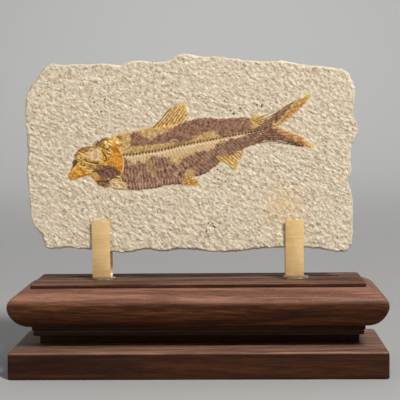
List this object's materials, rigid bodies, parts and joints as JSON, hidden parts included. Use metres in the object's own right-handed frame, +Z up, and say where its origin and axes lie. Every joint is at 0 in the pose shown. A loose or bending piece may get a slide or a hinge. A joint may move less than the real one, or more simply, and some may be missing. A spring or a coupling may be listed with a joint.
{
  "type": "fossil fish slab",
  "caption": "Small fossil fish in an irregular limestone plate, held upright by brass spring clips on a stepped, moulded hardwood display stand.",
  "frame": {"origin": "centre of the stand's underside", "axes": "+X along the stand, to the right as the fossil is looked at; the fossil faces -Y; +Z up"},
  "size_m": [0.168, 0.056, 0.1431],
  "materials": {
    "limestone": "matt, chiselled limestone with a brown and ochre fossil",
    "dark_wood": "dark reddish-brown hardwood, satin lacquer",
    "moulded_wood": "reddish-brown hardwood, satin lacquer",
    "brass": "brushed along the strip's width",
    "adhesive": "clear, slightly milky set adhesive"
  },
  "bodies": {
    "root": {"fossil_slab": "limestone", "plinth": "dark_wood", "neck_core": "dark_wood", "neck_moulding": "dark_wood", "moulded_board": "moulded_wood", "top_board": "moulded_wood", "clip_left": "brass", "clip_right": "brass", "adhesive_left": "adhesive", "adhesive_right": "adhesive"}
  },
  "joints": []
}
